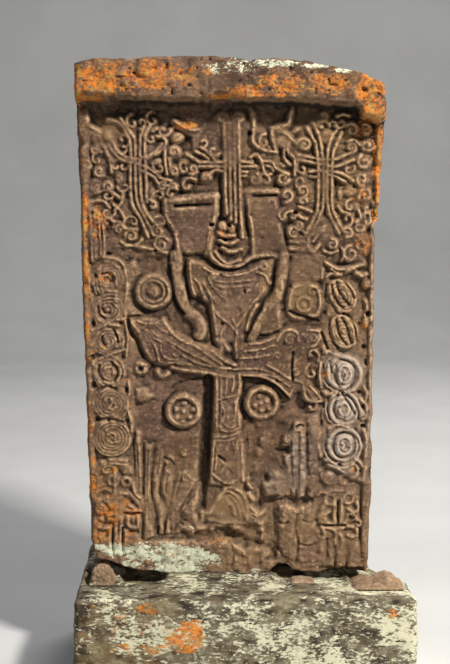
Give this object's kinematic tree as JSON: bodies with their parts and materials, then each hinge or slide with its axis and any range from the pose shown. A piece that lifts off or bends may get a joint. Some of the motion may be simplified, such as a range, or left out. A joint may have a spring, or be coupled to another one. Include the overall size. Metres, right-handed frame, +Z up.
{
  "type": "carved cross-stone on a base stone",
  "caption": "Upright stone slab carved with crosses, knotwork and leaves under a projecting cornice, standing on a rough base stone to mark a place of prayer.",
  "frame": {"origin": "on the ground under the middle of the object's bounding box", "axes": "+Z up, +X to the viewer's right, and the carved face looks along -Y"},
  "size_m": [1.0904, 0.5948, 1.9623],
  "materials": {
    "carved_stone": "weathered red-brown volcanic stone with orange and pale lichen",
    "base_stone": "rough grey stone under pale green lichen",
    "packing_stone": "rough tan stone"
  },
  "bodies": {
    "root": {"slab": "carved_stone", "pedestal": "base_stone", "left_packing_stone": "packing_stone", "right_wedge_stone": "packing_stone", "thin_packing_stone": "packing_stone"}
  },
  "joints": []
}
